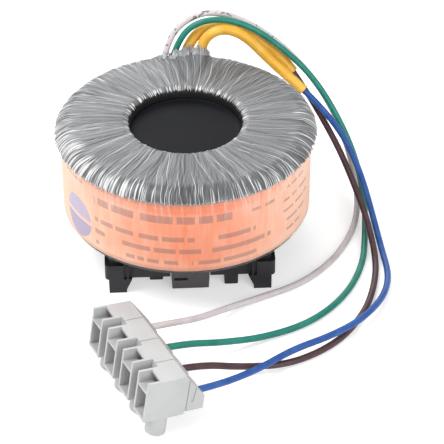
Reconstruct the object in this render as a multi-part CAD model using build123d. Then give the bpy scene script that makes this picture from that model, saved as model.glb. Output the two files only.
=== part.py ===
from build123d import *
import os
from math import cos, pi, radians, sin, sqrt, tan

os.makedirs("parts", exist_ok=True)

# Toroidal mains transformer wrapped in clear film, on a round moulded base that snaps onto a
# 35 mm rail, with four flexible leads that run to a four-pole terminal housing lying in front.
# Millimetres, +Z up. The origin is on the ring's axis, at the level of the base's feet, and
# the base's latch faces -Y.

# ---- Ring: strip-wound core and what is wound on it, from the inside out ----
CORE_INNER_R = 24.0
CORE_OUTER_R = 33.8
CORE_HEIGHT = 18.2
LAYER_GAP = 0.05  # air between one layer of the ring and the next
INSULATION_THICK = 0.55
PRIMARY_THICK = 2.15
INTERWINDING_THICK = 0.25
SECONDARY_THICK = 2.25
WRAP_THICK = 0.45

# ---- Rating label round the front of the ring ----
LABEL_THICK = 0.2
LABEL_HEIGHT = 25.2
LABEL_ARC = 240.0  # degrees, centred on the front

# ---- Film over label and ring ----
FILM_THICK = 0.3
FILM_SIDE_GAP = 0.1  # between the label or the wound hole and the film
FILM_FLARE = 2.15  # how much wider the film is at the top, where it spans the shoulder
FILM_TOP_OUTER_R = 6.5
FILM_TOP_INNER_R = 4.8
FILM_BOTTOM_R = 0.2
PLEAT_COUNT = 48
PLEAT_ARC = 2.2  # degrees
PLEAT_HEIGHT = 0.35
PLEAT_DEPTH = 9.0  # how far down the side and the hole the pleats reach from the top
FOLD_LENGTH = 20.0  # bunched film round the leads, along X
FOLD_WIDTH = 11.0
FOLD_HEIGHT = 3.6  # above the top of the film
FOLD_SHIFT_X = 0.5
FOLD_CENTRE_Y = 36.4
FOLD_CORNER_R = 4.5
FOLD_TAPER = 14.0  # degrees
FOLD_EDGE_R = 1.2
EXIT_PLAY = 0.15  # between a lead or sleeve and the fold
EXIT_RUNS = 2  # how many of a lead's runs its exit is cleared for
EXIT_START = 2.5  # how far below the lead's first point its exit starts

# ---- Potting in the ring's hole ----
POTTING_DROP = 4.3  # from the top of the film down to the flat of the potting
MENISCUS_HEIGHT = 0.8
MENISCUS_WIDTH = 0.9
MENISCUS_KNEE_HEIGHT = 0.2
MENISCUS_KNEE_WIDTH = 0.36

# ---- Base: round plate, frame, feet, rail hooks ----
PLATE_INSET = 0.95  # from the label's outside in to the plate's rim
PLATE_THICK = 1.0
FRAME_LENGTH_X = 54.0
FRAME_LENGTH_Y = 57.0
FRAME_CORNER_R = 1.5
FRAME_HEIGHT = 9.9
FRAME_WALL = 1.3
RECESS_DEPTH = 1.3  # of the frame's upper band
RECESS_HEIGHT = 4.5
FRONT_RECESS = 0.8  # of the wall between two feet
FOOT_HEIGHT = 5.3
FOOT_DEPTH = 4.6
FOOT_INSET = 1.2  # from the frame's side in to the foot
FOOT_WIDTH = 5.6
FOOT_SLANT = 1.8  # how much wider the foot is where it meets the frame
FOOT_TOE_HEIGHT = 1.2
GROOVE_START = 0.1  # from the foot's heel
GROOVE_WIDTH = 1.0
GROOVE_DEPTH = 0.8
GROOVE_PITCH = 1.6
RIB_THICK = 1.6
CROSS_RIB_Y = 13.0
SPIGOT_R = 7.0
SPIGOT_BORE_R = 5.0
SPIGOT_HEIGHT = 21.3

# ---- 35 mm rail along X, under the frame ----
RAIL_HALF_WIDTH = 17.5
RAIL_BRIM = 1.0
RAIL_PLAY = 0.2
HOOK_PLAY = 0.3  # between the rail's rear edge and the hook
HOOK_CENTRE_X = 12.0
HOOK_WIDTH = 8.0
HOOK_THICK = 1.8
HOOK_REACH = 2.0
HOOK_NOSE = 2.2
HOOK_LEAD_IN_WIDTH = 1.0
HOOK_LEAD_IN_HEIGHT = 1.2

# ---- Latch guide in the base ----
SLIDE_PLAY = 0.25  # all round the slider
GUIDE_WALL = 1.6
GUIDE_SETBACK = 2.5  # from the frame's front
GUIDE_REAR_Y = 6.0
LEDGE_WIDTH = 1.3
LEDGE_THICK = 1.0
PEG_HALF_WIDTH = 1.9
PEG_THICK = 1.4
LUGS = ((13.1, 4.4, 2.0, 0.6), (-10.75, 4.3, 4.0, 1.6))  # centre x, width, set-back, bottom z
LUG_REAR_PLAY = 0.7  # between a lug and the rail's front edge
LUG_CORNER_R = 0.6

# ---- Sprung rail latch ----
LATCH_PROUD = 0.4  # of the frame's front
LATCH_HALF_WIDTH = 6.05
LATCH_THICK = 2.4
LATCH_BOTTOM_Z = 1.2
LATCH_TAPER = 0.25
LATCH_BLOCK_DEPTH = 4.9
LATCH_BLOCK_DROP = 0.15  # from the frame down to where the block narrows
LATCH_WEB_HALF_WIDTH = 4.8
LATCH_WEB_RISE = 0.7  # of the web's underside above the block's
LATCH_WEB_PLAY = 0.4  # between the rail's front edge and the web
LATCH_NOSE_REACH = 2.4
LATCH_NOSE_LEAD_IN = 1.2
LATCH_REAR_Y = 2.0
LATCH_STOP_GAP = 0.1
DRIVER_SLOT_X = (-5.2, -0.9)
DRIVER_SLOT_DROP = 0.9  # from the frame down to the slot's underside
DRIVER_SLOT_HEIGHT = 1.0
DRIVER_SLOT_DEPTH = 3.0
WINDOW_HALF_WIDTH = 2.2
WINDOW_PLAY = 0.2  # in front of the peg
UPSTAND_THICK = 2.0
UPSTAND_HALF_WIDTH = 3.0
UPSTAND_RISE = 0.3  # above the spring
STUD_R = 1.2
STUD_LENGTH = 1.2
SPRING_R = 1.8
SPRING_WIRE = 0.5
SPRING_TURNS = 6
SPRING_LENGTH = 10.6
SPRING_RISE = 0.2  # of the spring's axis above the slider's middle

# ---- Leads, sleeves and bared ends ----
LEAD_R = 1.05
ARC_SHARE = 0.45  # of the shorter of two runs, taken by the arc between them
SLEEVE_PLAY = 0.1
SLEEVE_WALL = 0.6
CONDUCTOR_R = 0.57

# Each lead's route, from the top of the ring to its pole of the terminal housing.
ROUTES = {
    "white": [
        (-5.8, 36.8, 46.4), (-4.2, 38.6, 52.4), (0.6, 41, 57.8), (9.2, 42.3, 61), (20, 42.4, 57.7),
        (31.2, 41.4, 50.3), (41.8, 39, 39.6), (50.8, 35.3, 26.4), (56.5, 28.5, 12.6), (58.6, 17.5, 3),
        (56.8, 5, 1.05), (52.2, -7.5, 1.05), (45, -19, 1.05), (34.5, -28.8, 1.05), (22, -34.5, 1.05),
        (10.8, -41, 2.4), (1.6, -49.8, 6), (-7.69, -55.37, 9.1), (-16.71, -59.41, 10.66),
    ],
    "green": [
        (-3, 37, 46.4), (-0.8, 38.3, 52.6), (4.4, 39.2, 58.1), (13.2, 39.5, 59.7), (23.5, 39.3, 56.2),
        (34, 38.2, 48), (43.8, 36, 38.4), (52, 31, 26), (58.2, 22.5, 13.5), (60, 9.5, 4.2),
        (58.6, -4.5, 1.05), (56, -20, 1.05), (49, -35, 1.05), (37, -47.5, 1.05), (22, -54.2, 1.3),
        (8, -59.6, 4.4), (-3.38, -65, 9.1), (-12.4, -69.04, 10.66),
    ],
    "brown": [
        (1, 37.8, 46.4), (2.8, 39.6, 51), (7.6, 41.4, 55), (15.4, 42.5, 55.4), (24.6, 42.6, 50.6),
        (34.2, 41.2, 42.9), (41.2, 37.4, 33), (47, 30.4, 25.2), (52.2, 20.6, 18.4), (56, 9.4, 12.4),
        (59.3, -3, 6.6), (60.8, -17, 1.05), (58.6, -30.5, 1.05), (53.8, -44, 1.05), (44, -57.8, 1.05),
        (29, -66.8, 1.05), (14, -70, 3.4), (0.93, -74.63, 9.1), (-8.09, -78.67, 10.66),
    ],
    "blue": [
        (6.4, 37, 46.4), (6.6, 37.3, 51), (9.6, 37.7, 55.2), (14.9, 37.9, 56.7), (21.4, 37.5, 53.8),
        (28.8, 36.4, 45.6), (36.2, 34.3, 38.8), (44.8, 30.6, 31.6), (53.6, 22.8, 23), (58.6, 12.2, 14.2),
        (61.2, 1, 6.8), (63.1, -12, 1.3), (64, -26, 1.05), (60, -39, 2.2), (51.2, -51, 3.7),
        (41.2, -57.8, 3.8), (29.4, -63.8, 4.2), (18.4, -73, 4.9), (5.24, -84.26, 9.1), (-3.78, -88.3, 10.66),
    ],
}
SLEEVE_RUNS = {"brown": 5, "blue": 6}  # the sleeve ends halfway along the next run

# ---- Terminal housing, in its own frame: x front to rear, y across the poles, z up ----
POLE_COLOURS = ("white", "green", "brown", "blue")
POLE_PITCH = 10.55
CELL_WIDTH = 6.95
CELL_HEIGHT = 13.8
CELL_TOP_DEPTH = 12.2
CELL_DEPTH = 19.0
CELL_WALL = 0.8
CELL_FLOOR = 1.0
CELL_REAR_STEP = 0.9
CELL_REAR_STEP_X = 12.85
CELL_SHOULDER_Z = 5.6
SLIT_DEPTH = 6.2  # of the slits that part the cells in front
CAVITY_DEPTH = 11.0
MOUTH_HEIGHT = 8.6
WEB_THICK = 0.55
WEB_DEPTH = 4.6
TOP_HOLE_REAR_X = 4.0
NOTCH_FRONT_X = 14.3  # of the gaps that part the wire entries at the rear
LEAD_AXIS_Z = 5.0
LEAD_BORE_R = 1.2
LEAD_BORE_END_X = 13.5
LEAD_BORE_LEAD_IN = 0.4
CONDUCTOR_BORE_R = 0.7
CONDUCTOR_TIP_X = 7.6
LEAD_END_X = 14.5
BOSS_R = 3.1
BOSS_HEIGHT = 6.6
BOSS_X = 6.2
SEAM = 0.3
SEAM_X = 13.2
KEY_X = 14.6  # tapered groove on the end face
KEY_LOW_Z = 4.0
KEY_HIGH_Z = 9.0
KEY_LOW_WIDTH = 0.9
KEY_HIGH_WIDTH = 1.4
HOUSING_X = -31.9
HOUSING_Y = -62.4
HOUSING_TURN = 24.1
HOUSING_TILT = 9.0
CONTACT_THICK = 0.9
CONTACT_WIDTH = 3.6
CONTACT_FRONT_X = 4.6
SPRING_STRIP = 0.35
SPRING_STRIP_WIDTH = 3.0
SPRING_STRIP_BEND_R = 0.8
GRIP_FRONT_X = 5.4
GRIP_SHOULDER = 0.8  # how far the strip's front corner under the roof is set back
GRIP_DROP = 3.6  # from the roof down to the strip's front bend
GRIP_REAR_GAP = 0.6
GRIP_TAIL = 1.6  # length of the bent-down tail, each way
GRIP_TIP_X = 1.6  # from the conductor's end to where the strip presses it
GRIP_LIP_LENGTH = 1.3
GRIP_LIP_RISE = 0.5
SEAT = 0.05  # between a contact or a spring and what it lies on

# ---- Sizes that follow from the ones above ----
FRAME_BOTTOM_Z = FOOT_HEIGHT
PLATE_BOTTOM_Z = FRAME_BOTTOM_Z + FRAME_HEIGHT
PLATE_TOP_Z = PLATE_BOTTOM_Z + PLATE_THICK
LAYERS = (
    ("core_insulation", INSULATION_THICK),
    ("primary_winding", PRIMARY_THICK),
    ("interwinding_wrap", INTERWINDING_THICK),
    ("secondary_winding", SECONDARY_THICK),
    ("winding_wrap", WRAP_THICK),
)
WINDING_BUILD = sum(LAYER_GAP + thick for name, thick in LAYERS)
RING_MID_R = (CORE_INNER_R + CORE_OUTER_R) / 2
WRAP_BOTTOM_Z = PLATE_TOP_Z + FILM_THICK + LAYER_GAP
RING_MID_Z = WRAP_BOTTOM_Z + WINDING_BUILD + CORE_HEIGHT / 2
WRAP_TOP_Z = RING_MID_Z + CORE_HEIGHT / 2 + WINDING_BUILD
WRAP_OUTER_R = CORE_OUTER_R + WINDING_BUILD
WRAP_INNER_R = CORE_INNER_R - WINDING_BUILD
LABEL_INNER_R = WRAP_OUTER_R + LAYER_GAP
LABEL_OUTER_R = LABEL_INNER_R + LABEL_THICK
PLATE_R = LABEL_OUTER_R - PLATE_INSET
FILM_TOP_Z = WRAP_TOP_Z + LAYER_GAP + FILM_THICK
HOLE_R = WRAP_INNER_R - FILM_SIDE_GAP - FILM_THICK
SLIDER_BOTTOM_Z = FRAME_BOTTOM_Z + LEDGE_THICK + SLIDE_PLAY
SLIDER_TOP_Z = SLIDER_BOTTOM_Z + LATCH_THICK
GUIDE_HALF_WIDTH = LATCH_HALF_WIDTH + SLIDE_PLAY
FRAME_FRONT_Y = -FRAME_LENGTH_Y / 2
GUIDE_FRONT_Y = FRAME_FRONT_Y + GUIDE_SETBACK
LATCH_FRONT_Y = FRAME_FRONT_Y - LATCH_PROUD
LATCH_WEB_REAR_Y = -RAIL_HALF_WIDTH - LATCH_WEB_PLAY
LUG_REAR_Y = -RAIL_HALF_WIDTH - LUG_REAR_PLAY
HOOK_FACE_Y = RAIL_HALF_WIDTH + HOOK_PLAY
FOOT_OUTER_X = FRAME_LENGTH_X / 2 - FOOT_INSET
FOOT_INNER_X = FOOT_OUTER_X - FOOT_WIDTH
FOOT_HEEL_X = FOOT_INNER_X - FOOT_SLANT
SPRING_Z = (SLIDER_BOTTOM_Z + SLIDER_TOP_Z) / 2 + SPRING_RISE
UPSTAND_FRONT_Y = LATCH_REAR_Y - UPSTAND_THICK
RAIL_GRIP_Z = FRAME_BOTTOM_Z - RAIL_BRIM - RAIL_PLAY
SPRING_FRONT_Y = UPSTAND_FRONT_Y - SPRING_LENGTH
SLEEVE_R = LEAD_R + SLEEVE_PLAY + SLEEVE_WALL
POLE_COUNT = len(POLE_COLOURS)
HOUSING_WIDTH = (POLE_COUNT - 1) * POLE_PITCH + CELL_WIDTH
HOUSING_Z = (
    BOSS_HEIGHT * cos(radians(HOUSING_TILT)) + (BOSS_X + BOSS_R) * sin(radians(HOUSING_TILT))
)
HOUSING_PLACE = (
    Pos(HOUSING_X, HOUSING_Y, HOUSING_Z) * Rot(0, 0, HOUSING_TURN) * Rot(0, HOUSING_TILT, 0)
)


def block(x0, x1, y0, y1, z0, z1):
    """Rectangular stretch between two corners."""
    return Pos((x0 + x1) / 2, (y0 + y1) / 2, (z0 + z1) / 2) * Box(x1 - x0, y1 - y0, z1 - z0)


def side_profile(points, x0, x1):
    """An outline of (y, z) points, extruded along X from x0 to x1."""
    face = Plane.YZ * Polygon(*points, align=None)
    return Pos(x0, 0, 0) * extrude(face, amount=x1 - x0, dir=(1, 0, 0))


def front_profile(points, y0, y1):
    """An outline of (x, z) points, extruded along Y from y0 to y1."""
    face = Plane.XZ * Polygon(*points, align=None)
    return Pos(0, y0, 0) * extrude(face, amount=y1 - y0, dir=(0, 1, 0))


# ---- Ring ----

def ring_section(build, rounded=False):
    """The core's section grown by a build-up all round, its corners bevelled or rounded."""
    width = CORE_OUTER_R - CORE_INNER_R + 2 * build
    height = CORE_HEIGHT + 2 * build
    if rounded:
        outline = RectangleRounded(width, height, build)
    elif build > 0:
        rectangle = Rectangle(width, height)
        outline = chamfer(rectangle.vertices(), length=build * (2 - sqrt(2)))
    else:
        outline = Rectangle(width, height)
    return Plane.XZ * Pos(RING_MID_R, RING_MID_Z) * outline


def ring_layer(start, thick, rounded=False):
    """One closed layer round the ring, from a build-up outwards."""
    section = ring_section(start + thick, rounded) - ring_section(start)
    return revolve(section, axis=Axis.Z)


def core():
    return revolve(ring_section(0), axis=Axis.Z)


def wound_layers():
    """The insulation, windings and tapes, each on top of the one before."""
    built = 0.0
    solids = {}
    for name, thick in LAYERS:
        built += LAYER_GAP
        solids[name] = ring_layer(built, thick, rounded=name == "winding_wrap")
        built += thick
    return solids


def rating_label():
    """Stiff paper band that stands straight past the ring's rounded shoulders."""
    middle = (LABEL_INNER_R + LABEL_OUTER_R) / 2
    middle_z = WRAP_BOTTOM_Z + FILM_BOTTOM_R + LABEL_HEIGHT / 2
    band = Plane.XZ * Pos(middle, middle_z) * Rectangle(LABEL_THICK, LABEL_HEIGHT)
    return Rot(0, 0, -90 - LABEL_ARC / 2) * revolve(band, axis=Axis.Z, revolution_arc=LABEL_ARC)


# ---- Film ----

def film_section(grow=0.0):
    """Section of the space inside the film, grown outwards: straight in the hole, flared
    outside, and drawn tight over rounded top edges."""
    inner_r = WRAP_INNER_R - FILM_SIDE_GAP
    outer_r = LABEL_OUTER_R + FILM_SIDE_GAP
    bottom_z = PLATE_TOP_Z + FILM_THICK
    top_z = FILM_TOP_Z - FILM_THICK
    corners = Polygon(
        (inner_r, bottom_z), (outer_r, bottom_z), (outer_r + FILM_FLARE, top_z), (inner_r, top_z),
        align=None,
    )
    low = corners.vertices().group_by(Axis.Y)[0]
    outline = fillet(low, FILM_BOTTOM_R)
    top = outline.vertices().group_by(Axis.Y)[-1].sort_by(Axis.X)
    outline = fillet(top[-1], FILM_TOP_OUTER_R)
    top = outline.vertices().group_by(Axis.Y)[-1].sort_by(Axis.X)
    outline = fillet(top[0], FILM_TOP_INNER_R)
    if grow:
        outline = offset(outline, amount=grow, kind=Kind.ARC)
    return Plane.XZ * outline


def pleat():
    """One radial pleat over the film's top and shoulders."""
    reach = PLATE_R * 2
    band = film_section(FILM_THICK + PLEAT_HEIGHT) - film_section(FILM_THICK / 2)
    above = Plane.XZ * Pos(0, FILM_TOP_Z - PLEAT_DEPTH + reach / 2) * Rectangle(2 * reach, reach)
    outside = Plane.XZ * Pos(HOLE_R + reach / 2, FILM_TOP_Z) * Rectangle(reach, 2 * reach)
    return revolve(band & above & outside, axis=Axis.Z, revolution_arc=PLEAT_ARC)


def lead_fold():
    """Film bunched up round the four leads where they leave the ring."""
    foot = Pos(FOLD_SHIFT_X, FOLD_CENTRE_Y) * RectangleRounded(FOLD_LENGTH, FOLD_WIDTH, FOLD_CORNER_R)
    height = FOLD_HEIGHT + FILM_TOP_OUTER_R
    fold = Pos(0, 0, FILM_TOP_Z - FILM_TOP_OUTER_R) * extrude(foot, amount=height, taper=FOLD_TAPER)
    return fillet(fold.edges().group_by(Axis.Z)[-1], FOLD_EDGE_R)


def outer_film():
    inside = revolve(film_section(), axis=Axis.Z)
    skin = revolve(film_section(FILM_THICK), axis=Axis.Z)
    one = pleat()
    pleats = [place * one for place in PolarLocations(0, PLEAT_COUNT)]
    film = skin.fuse(*pleats, lead_fold()).cut(inside)
    for colour in POLE_COLOURS:
        radius = SLEEVE_R if colour in SLEEVE_RUNS else LEAD_R
        film = film.cut(lead_tube(colour, radius + EXIT_PLAY, EXIT_RUNS, EXIT_START))
    return film


# ---- Potting ----

def centre_potting():
    """Resin cast in the hole over the base's spigot, with a meniscus round its edge."""
    radius = HOLE_R - LAYER_GAP
    flat_z = FILM_TOP_Z - POTTING_DROP
    section = Polygon(
        (0, PLATE_TOP_Z), (radius, PLATE_TOP_Z), (radius, flat_z + MENISCUS_HEIGHT),
        (radius - MENISCUS_KNEE_WIDTH, flat_z + MENISCUS_KNEE_HEIGHT),
        (radius - MENISCUS_WIDTH, flat_z), (0, flat_z),
        align=None,
    )
    cast = revolve(Plane.XZ * section, axis=Axis.Z)
    socket = Pos(0, 0, PLATE_TOP_Z) * Cylinder(
        SPIGOT_R + LAYER_GAP, SPIGOT_HEIGHT + LAYER_GAP, align=(Align.CENTER, Align.CENTER, Align.MIN)
    )
    return cast - socket


# ---- Base ----

def frame_band(inset, z0, z1):
    """Rounded rectangle of the frame, drawn in by an inset."""
    outline = RectangleRounded(
        FRAME_LENGTH_X - 2 * inset, FRAME_LENGTH_Y - 2 * inset, FRAME_CORNER_R
    )
    return Pos(0, 0, z0) * extrude(outline, amount=z1 - z0)


def frame_walls():
    """The frame's stepped wall, open below, with a set-back panel between each pair of feet."""
    step_z = PLATE_BOTTOM_Z - RECESS_HEIGHT
    wall = frame_band(0, FRAME_BOTTOM_Z, step_z) + frame_band(RECESS_DEPTH, step_z, PLATE_BOTTOM_Z)
    wall -= frame_band(RECESS_DEPTH + FRAME_WALL, FRAME_BOTTOM_Z, PLATE_BOTTOM_Z)
    panel = FOOT_HEEL_X
    for side in (-1, 1):
        front = side * FRAME_LENGTH_Y / 2
        edges = sorted((front, front - side * FRONT_RECESS))
        wall -= block(-panel, panel, *edges, FRAME_BOTTOM_Z, step_z)
    return wall


def foot():
    """One foot: a slanted leg under the frame's corner, grooved down its front."""
    outline = (
        (FOOT_OUTER_X, 0), (FOOT_OUTER_X, FOOT_HEIGHT), (FOOT_HEEL_X, FOOT_HEIGHT),
        (FOOT_INNER_X, FOOT_TOE_HEIGHT), (FOOT_INNER_X, 0),
    )
    return front_profile(outline, FRAME_FRONT_Y, FRAME_FRONT_Y + FOOT_DEPTH)


def foot_grooves():
    """Two upright grooves in the frame's corner above each front foot."""
    cuts = []
    for side in (-1, 1):
        for place in (0, 1):
            centre = side * (FOOT_HEEL_X + GROOVE_START + GROOVE_WIDTH / 2 + place * GROOVE_PITCH)
            cuts.append(block(
                centre - GROOVE_WIDTH / 2, centre + GROOVE_WIDTH / 2,
                FRAME_FRONT_Y, FRAME_FRONT_Y + GROOVE_DEPTH,
                FRAME_BOTTOM_Z, PLATE_BOTTOM_Z - RECESS_HEIGHT,
            ))
    return cuts


def latch_guide():
    """Channel that the latch slides in: two walls with ledges, closed at the rear."""
    inner = GUIDE_HALF_WIDTH
    outer = inner + GUIDE_WALL
    lip = inner - LEDGE_WIDTH
    over_z = SLIDER_TOP_Z + SLIDE_PLAY
    wall = (
        (outer, FRAME_BOTTOM_Z), (outer, PLATE_BOTTOM_Z), (lip, PLATE_BOTTOM_Z),
        (lip, over_z), (inner, over_z), (inner, FRAME_BOTTOM_Z),
    )
    right = front_profile(wall, GUIDE_FRONT_Y, GUIDE_REAR_Y)
    ledge_front = LATCH_WEB_REAR_Y + LATCH_STOP_GAP
    right += block(lip, outer, ledge_front, GUIDE_REAR_Y, FRAME_BOTTOM_Z, FRAME_BOTTOM_Z + LEDGE_THICK)
    rear = block(-outer, outer, GUIDE_REAR_Y, GUIDE_REAR_Y + GUIDE_WALL, FRAME_BOTTOM_Z, PLATE_BOTTOM_Z)
    return right + mirror(right, about=Plane.YZ) + rear


def spring_peg():
    """Peg under the plate with the stud that holds the front of the spring."""
    peg = block(
        -PEG_HALF_WIDTH, PEG_HALF_WIDTH, SPRING_FRONT_Y - PEG_THICK, SPRING_FRONT_Y,
        SPRING_Z - STUD_R, PLATE_BOTTOM_Z,
    )
    stud = Pos(0, SPRING_FRONT_Y, SPRING_Z) * Rot(-90, 0, 0) * Cylinder(
        STUD_R, STUD_LENGTH, align=(Align.CENTER, Align.CENTER, Align.MIN)
    )
    return peg + stud


def rail_hook():
    """Fixed hook that holds the rail's rear brim."""
    nose_y = HOOK_FACE_Y - HOOK_REACH
    rear_y = HOOK_FACE_Y + HOOK_THICK
    bottom_z = RAIL_GRIP_Z - HOOK_NOSE
    outline = (
        (HOOK_FACE_Y, FRAME_BOTTOM_Z), (HOOK_FACE_Y, RAIL_GRIP_Z), (nose_y, RAIL_GRIP_Z),
        (nose_y, bottom_z + HOOK_LEAD_IN_HEIGHT), (nose_y + HOOK_LEAD_IN_WIDTH, bottom_z),
        (rear_y, bottom_z), (rear_y, FRAME_BOTTOM_Z),
    )
    return side_profile(outline, -HOOK_WIDTH / 2, HOOK_WIDTH / 2)


def guide_lugs():
    """Two lugs hanging beside the latch, which meet the rail's front brim."""
    lugs = []
    for centre_x, width, setback, bottom_z in LUGS:
        length = LUG_REAR_Y - FRAME_FRONT_Y - setback
        lug = RectangleRounded(width, length, LUG_CORNER_R)
        lugs.append(
            Pos(centre_x, LUG_REAR_Y - length / 2, bottom_z)
            * extrude(lug, amount=PLATE_BOTTOM_Z - bottom_z)
        )
    return lugs


def cross_ribs():
    """Ribs that tie the frame's walls to the guide, and the rib that carries the hooks."""
    inner_x = FRAME_LENGTH_X / 2 - RECESS_DEPTH - FRAME_WALL / 2
    guide_x = GUIDE_HALF_WIDTH + GUIDE_WALL / 2
    hook_rib = (HOOK_FACE_Y, HOOK_FACE_Y + HOOK_THICK)
    ribs = [block(-inner_x, inner_x, *hook_rib, FRAME_BOTTOM_Z, PLATE_BOTTOM_Z)]
    for side in (-1, 1):
        for y in (-CROSS_RIB_Y, GUIDE_REAR_Y + GUIDE_WALL / 2):
            edges = sorted((side * guide_x, side * inner_x))
            ribs.append(block(*edges, y - RIB_THICK / 2, y + RIB_THICK / 2, FRAME_BOTTOM_Z, PLATE_BOTTOM_Z))
    return ribs


def mounting_base():
    plate = Pos(0, 0, PLATE_BOTTOM_Z) * Cylinder(
        PLATE_R, PLATE_THICK, align=(Align.CENTER, Align.CENTER, Align.MIN)
    )
    spigot_at = Pos(0, 0, PLATE_TOP_Z)
    spigot = spigot_at * Cylinder(SPIGOT_R, SPIGOT_HEIGHT, align=(Align.CENTER, Align.CENTER, Align.MIN))
    bore = spigot_at * Cylinder(
        SPIGOT_BORE_R, SPIGOT_HEIGHT, align=(Align.CENTER, Align.CENTER, Align.MIN)
    )
    base = plate + spigot - bore + frame_walls() + latch_guide() + spring_peg()
    base += cross_ribs()
    base += guide_lugs()
    base -= foot_grooves()
    one = foot()
    base += [one, mirror(one, about=Plane.YZ)]
    base += [mirror(one, about=Plane.XZ), mirror(mirror(one, about=Plane.XZ), about=Plane.YZ)]
    base += [Pos(side * HOOK_CENTRE_X, 0, 0) * rail_hook() for side in (-1, 1)]
    base -= block(
        -GUIDE_HALF_WIDTH, GUIDE_HALF_WIDTH, FRAME_FRONT_Y, LATCH_FRONT_Y + LATCH_BLOCK_DEPTH,
        FRAME_BOTTOM_Z, SLIDER_TOP_Z + SLIDE_PLAY,
    )
    return base


# ---- Latch ----

def rail_latch():
    """Slider with a pull block in front, a nose under the rail and a seat for its spring."""
    block_top_z = FRAME_BOTTOM_Z - LATCH_BLOCK_DROP
    low_half = LATCH_HALF_WIDTH - LATCH_TAPER
    outline = (
        (-low_half, LATCH_BOTTOM_Z), (low_half, LATCH_BOTTOM_Z),
        (LATCH_HALF_WIDTH, block_top_z), (LATCH_HALF_WIDTH, SLIDER_TOP_Z),
        (-LATCH_HALF_WIDTH, SLIDER_TOP_Z), (-LATCH_HALF_WIDTH, block_top_z),
    )
    block_rear_y = LATCH_FRONT_Y + LATCH_BLOCK_DEPTH
    latch = front_profile(outline, LATCH_FRONT_Y, block_rear_y)
    nose_y = LATCH_WEB_REAR_Y + LATCH_NOSE_REACH
    web_z = LATCH_BOTTOM_Z + LATCH_WEB_RISE
    web = (
        (block_rear_y, web_z), (nose_y - LATCH_NOSE_LEAD_IN, web_z),
        (nose_y, web_z + LATCH_NOSE_LEAD_IN), (nose_y, RAIL_GRIP_Z), (LATCH_WEB_REAR_Y, RAIL_GRIP_Z),
        (LATCH_WEB_REAR_Y, SLIDER_TOP_Z), (block_rear_y, SLIDER_TOP_Z),
    )
    latch += side_profile(web, -LATCH_WEB_HALF_WIDTH, LATCH_WEB_HALF_WIDTH)
    latch += block(
        -LATCH_HALF_WIDTH, LATCH_HALF_WIDTH, block_rear_y, LATCH_REAR_Y,
        SLIDER_BOTTOM_Z, SLIDER_TOP_Z,
    )
    latch -= block(
        -WINDOW_HALF_WIDTH, WINDOW_HALF_WIDTH,
        SPRING_FRONT_Y - PEG_THICK - WINDOW_PLAY, UPSTAND_FRONT_Y,
        SLIDER_BOTTOM_Z, SLIDER_TOP_Z,
    )
    latch += block(
        -UPSTAND_HALF_WIDTH, UPSTAND_HALF_WIDTH, UPSTAND_FRONT_Y, LATCH_REAR_Y,
        SLIDER_BOTTOM_Z, SPRING_Z + SPRING_R + UPSTAND_RISE,
    )
    latch += Pos(0, UPSTAND_FRONT_Y, SPRING_Z) * Rot(90, 0, 0) * Cylinder(
        STUD_R, STUD_LENGTH, align=(Align.CENTER, Align.CENTER, Align.MIN)
    )
    slot_z = FRAME_BOTTOM_Z - DRIVER_SLOT_DROP
    latch -= block(
        *DRIVER_SLOT_X, LATCH_FRONT_Y, LATCH_FRONT_Y + DRIVER_SLOT_DEPTH,
        slot_z, slot_z + DRIVER_SLOT_HEIGHT,
    )
    return latch


def latch_spring():
    """Coil spring between the base's stud and the latch's stud."""
    length = UPSTAND_FRONT_Y - SPRING_FRONT_Y - 2 * SEAT - SPRING_WIRE
    mean_r = SPRING_R - SPRING_WIRE / 2
    coil = Helix(pitch=length / SPRING_TURNS, height=length, radius=mean_r)
    wire = Plane(origin=coil @ 0, z_dir=coil % 0) * Circle(SPRING_WIRE / 2)
    spring = sweep(wire, path=coil, is_frenet=True)
    return Pos(0, SPRING_FRONT_Y + SEAT + SPRING_WIRE / 2, SPRING_Z) * Rot(-90, 0, 0) * spring


# ---- Leads ----

def corner_radii(points):
    """Arc radius at each inner point: as large as the shorter of its two runs allows."""
    radii = []
    for before, corner, after in zip(points, points[1:], points[2:]):
        run_in = Vector(corner) - Vector(before)
        run_out = Vector(after) - Vector(corner)
        half_turn = radians(run_in.get_angle(run_out)) / 2
        radii.append(ARC_SHARE * min(run_in.length, run_out.length) / tan(half_turn))
    return radii


def lead_path(colour, last_run=None, lead_in=0.0):
    """A lead's centre line, whole or up to the middle of one of its runs."""
    points = [Vector(point) for point in ROUTES[colour]]
    radii = corner_radii(points)
    if last_run is not None:
        points = points[: last_run + 1] + [(points[last_run] + points[last_run + 1]) / 2]
        radii = radii[:last_run]
    points[0] -= (points[1] - points[0]).normalized() * lead_in
    return FilletPolyline(*points, radius=radii)


def lead_tube(colour, radius, last_run=None, lead_in=0.0):
    """Round bar along a lead's centre line."""
    path = lead_path(colour, last_run, lead_in)
    return sweep(Plane(origin=path @ 0, z_dir=path % 0) * Circle(radius), path=path)


def sleeve(colour):
    """Insulating sleeve over a lead's first stretch."""
    bore = lead_tube(colour, LEAD_R + SLEEVE_PLAY, SLEEVE_RUNS[colour])
    return lead_tube(colour, SLEEVE_R, SLEEVE_RUNS[colour]) - bore


# ---- Terminal housing ----

def pole_y(pole):
    """Centre of a pole across the housing."""
    return -pole * POLE_PITCH - CELL_WIDTH / 2


def housing_bar():
    """The housing's side profile over its whole width, with bosses under the poles."""
    outline = (
        (0, 0), (CELL_REAR_STEP_X, 0), (CELL_REAR_STEP_X, CELL_REAR_STEP), (CELL_DEPTH, CELL_REAR_STEP),
        (CELL_DEPTH, CELL_SHOULDER_Z), (CELL_TOP_DEPTH, CELL_HEIGHT), (0, CELL_HEIGHT),
    )
    return front_profile(outline, -HOUSING_WIDTH, 0)


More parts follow.
